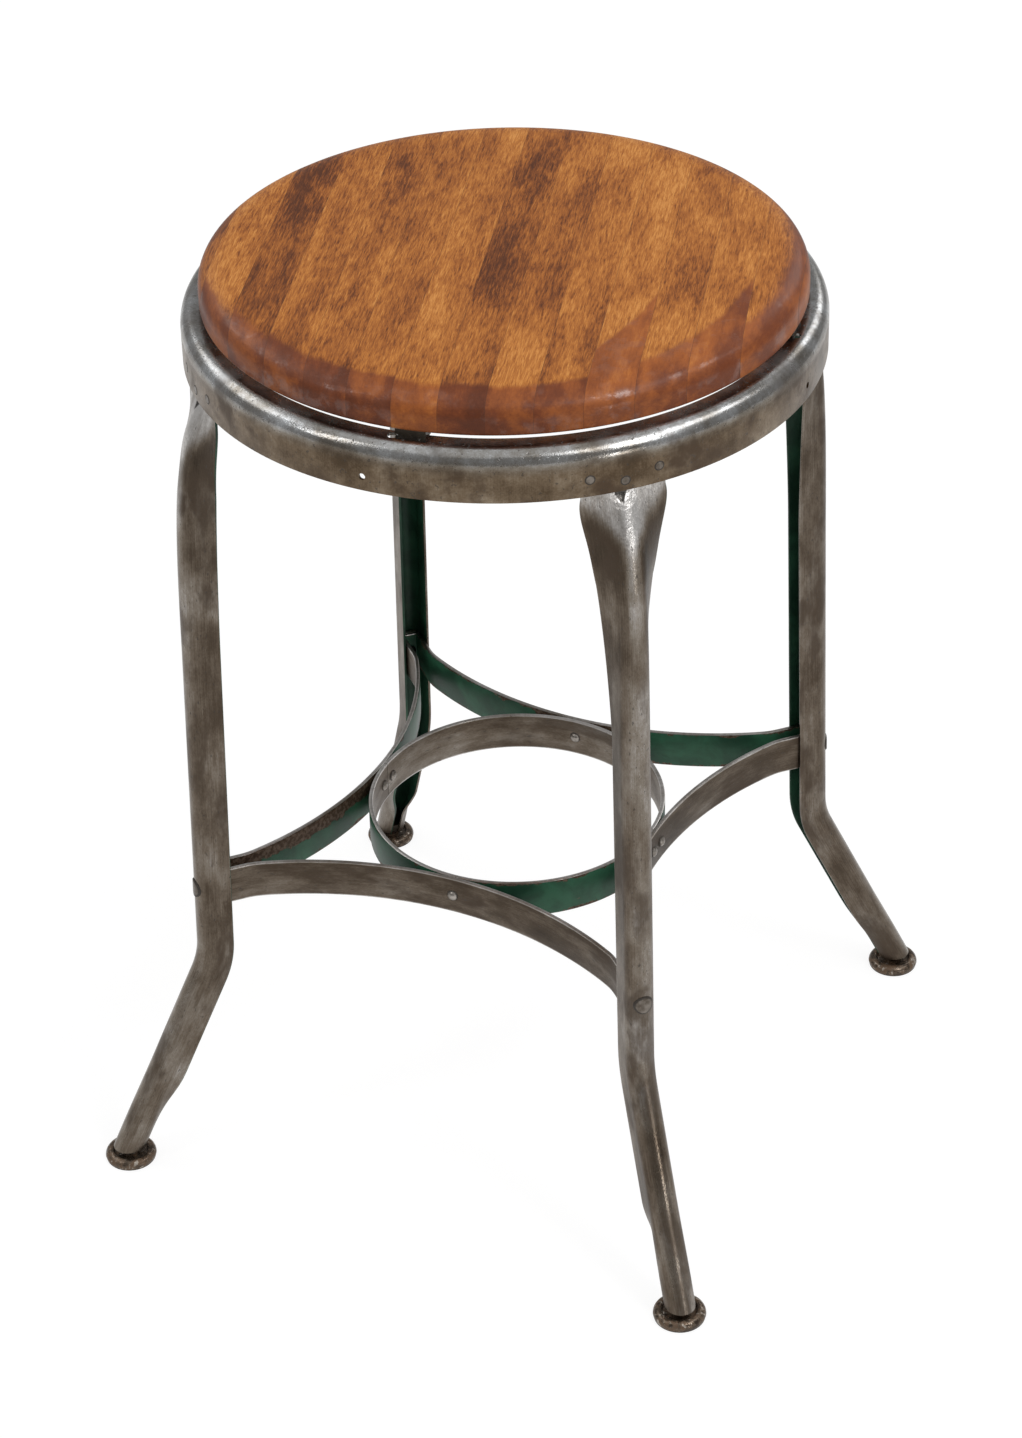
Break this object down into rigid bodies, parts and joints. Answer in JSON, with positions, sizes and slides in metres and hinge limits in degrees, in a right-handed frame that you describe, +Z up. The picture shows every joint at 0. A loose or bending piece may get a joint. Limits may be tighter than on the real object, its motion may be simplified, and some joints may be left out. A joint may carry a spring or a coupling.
{
  "type": "steel stool",
  "caption": "Backless work stool with a round laminated wooden seat on a pressed steel ring, folded channel legs, curved braces round a foot ring and self-levelling swivel glides.",
  "frame": {"origin": "on the floor, under the middle of the seat (bottom centre of the overall box)", "axes": "+Z up; the legs stand on the diagonals of X and Y, the braces' middles on the X and Y axes"},
  "size_m": [0.4216, 0.4216, 0.6066],
  "materials": {
    "seat_wood": "satin varnish over a warm orange-brown stain",
    "ring_steel": "stripped and brushed, lightly mottled",
    "leg_steel": "stripped and brushed outside with a brown patina, dark green enamel inside",
    "strip_steel": "dark green enamel on the inner faces, bare brushed steel on the outer ones",
    "rivet_steel": "bare, lightly worn",
    "plain_steel": "plain bright steel",
    "glide_enamel": "glossy dark brown, rust at the worn places",
    "liner_fibre": "matt dark fibre"
  },
  "bodies": {
    "frame": {"seat_board_01": "seat_wood", "seat_board_02": "seat_wood", "seat_board_03": "seat_wood", "seat_board_04": "seat_wood", "seat_board_05": "seat_wood", "seat_board_06": "seat_wood", "seat_board_07": "seat_wood", "seat_board_08": "seat_wood", "seat_board_09": "seat_wood", "seat_board_10": "seat_wood", "seat_board_11": "seat_wood", "seat_board_12": "seat_wood", "seat_board_13": "seat_wood", "seat_board_14": "seat_wood", "seat_cleat_1": "plain_steel", "seat_cleat_2": "plain_steel", "seat_cleat_3": "plain_steel", "seat_cleat_4": "plain_steel", "seat_clip_1": "plain_steel", "seat_clip_2": "plain_steel", "seat_clip_3": "plain_steel", "seat_clip_4": "plain_steel", "seat_screws": "plain_steel", "seat_ring": "ring_steel", "leg_front": "leg_steel", "leg_right": "leg_steel", "leg_back": "leg_steel", "leg_left": "leg_steel", "apron_rivets": "rivet_steel", "brace_front_right": "strip_steel", "brace_back_right": "strip_steel", "brace_back_left": "strip_steel", "brace_front_left": "strip_steel", "ring_half_back": "strip_steel", "ring_half_front": "strip_steel", "ring_rivets": "rivet_steel", "leg_rivets": "rivet_steel", "leg_plug_front": "plain_steel", "ball_stud_front": "plain_steel", "leg_plug_right": "plain_steel", "ball_stud_right": "plain_steel", "leg_plug_back": "plain_steel", "ball_stud_back": "plain_steel", "leg_plug_left": "plain_steel", "ball_stud_left": "plain_steel"},
    "liner_front": {"socket_liner_front": "liner_fibre"},
    "glide_front": {"glide_shell_front": "glide_enamel", "glide_sole_front": "plain_steel"},
    "liner_right": {"socket_liner_right": "liner_fibre"},
    "glide_right": {"glide_shell_right": "glide_enamel", "glide_sole_right": "plain_steel"},
    "liner_back": {"socket_liner_back": "liner_fibre"},
    "glide_back": {"glide_shell_back": "glide_enamel", "glide_sole_back": "plain_steel"},
    "liner_left": {"socket_liner_left": "liner_fibre"},
    "glide_left": {"glide_shell_left": "glide_enamel", "glide_sole_left": "plain_steel"}
  },
  "joints": [
    {"name": "glide_spin_front", "type": "hinge", "parent": "frame", "child": "liner_front", "pos_m": [0.19417, -0.19417, 0.0045], "axis": [0, 0, 1], "continuous": true},
    {"name": "glide_tilt_front", "type": "hinge", "parent": "liner_front", "child": "glide_front", "pos_m": [0.19417, -0.19417, 0.0045], "axis": [0.7071, 0.7071, 0], "range_deg": [-8, 8]},
    {"name": "glide_spin_right", "type": "hinge", "parent": "frame", "child": "liner_right", "pos_m": [0.19417, 0.19417, 0.0045], "axis": [0, 0, 1], "continuous": true},
    {"name": "glide_tilt_right", "type": "hinge", "parent": "liner_right", "child": "glide_right", "pos_m": [0.19417, 0.19417, 0.0045], "axis": [-0.7071, 0.7071, 0], "range_deg": [-8, 8]},
    {"name": "glide_spin_back", "type": "hinge", "parent": "frame", "child": "liner_back", "pos_m": [-0.19417, 0.19417, 0.0045], "axis": [0, 0, 1], "continuous": true},
    {"name": "glide_tilt_back", "type": "hinge", "parent": "liner_back", "child": "glide_back", "pos_m": [-0.19417, 0.19417, 0.0045], "axis": [-0.7071, -0.7071, 0], "range_deg": [-8, 8]},
    {"name": "glide_spin_left", "type": "hinge", "parent": "frame", "child": "liner_left", "pos_m": [-0.19417, -0.19417, 0.0045], "axis": [0, 0, 1], "continuous": true},
    {"name": "glide_tilt_left", "type": "hinge", "parent": "liner_left", "child": "glide_left", "pos_m": [-0.19417, -0.19417, 0.0045], "axis": [0.7071, -0.7071, 0], "range_deg": [-8, 8]}
  ]
}
